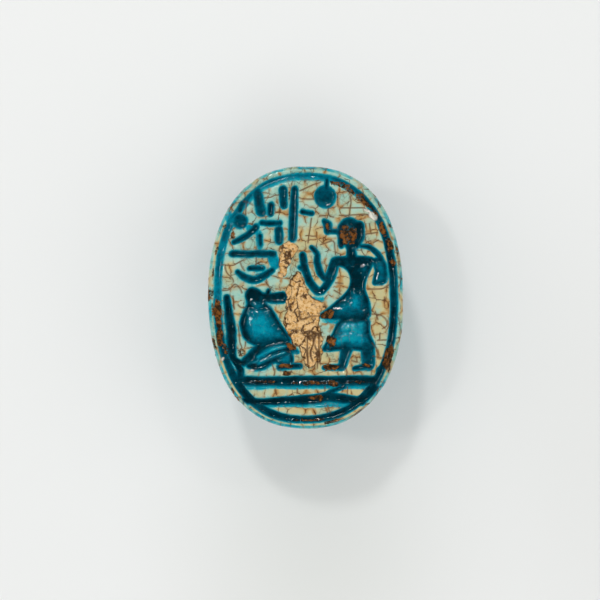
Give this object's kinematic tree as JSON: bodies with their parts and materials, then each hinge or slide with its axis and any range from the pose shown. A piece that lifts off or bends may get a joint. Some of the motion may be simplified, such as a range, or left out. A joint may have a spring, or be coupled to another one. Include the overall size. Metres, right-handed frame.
{
  "type": "scarab amulet",
  "caption": "Small oval beetle amulet of blue-green glazed stone, pierced lengthwise, its flat underside cut in sunk relief.",
  "frame": {"origin": "under the middle of the oval, at the crown of the beetle's back, which is the lowest point", "axes": "+Z out of the flat cut face, which looks up; +Y along the oval to the beetle's head, the top of the scene; +X to the right of the scene"},
  "size_m": [0.0134, 0.018, 0.008],
  "materials": {
    "glaze": "glossy crackled blue-green glaze, worn to pale stone in places"
  },
  "bodies": {
    "root": {"scarab": "glaze"}
  },
  "joints": []
}
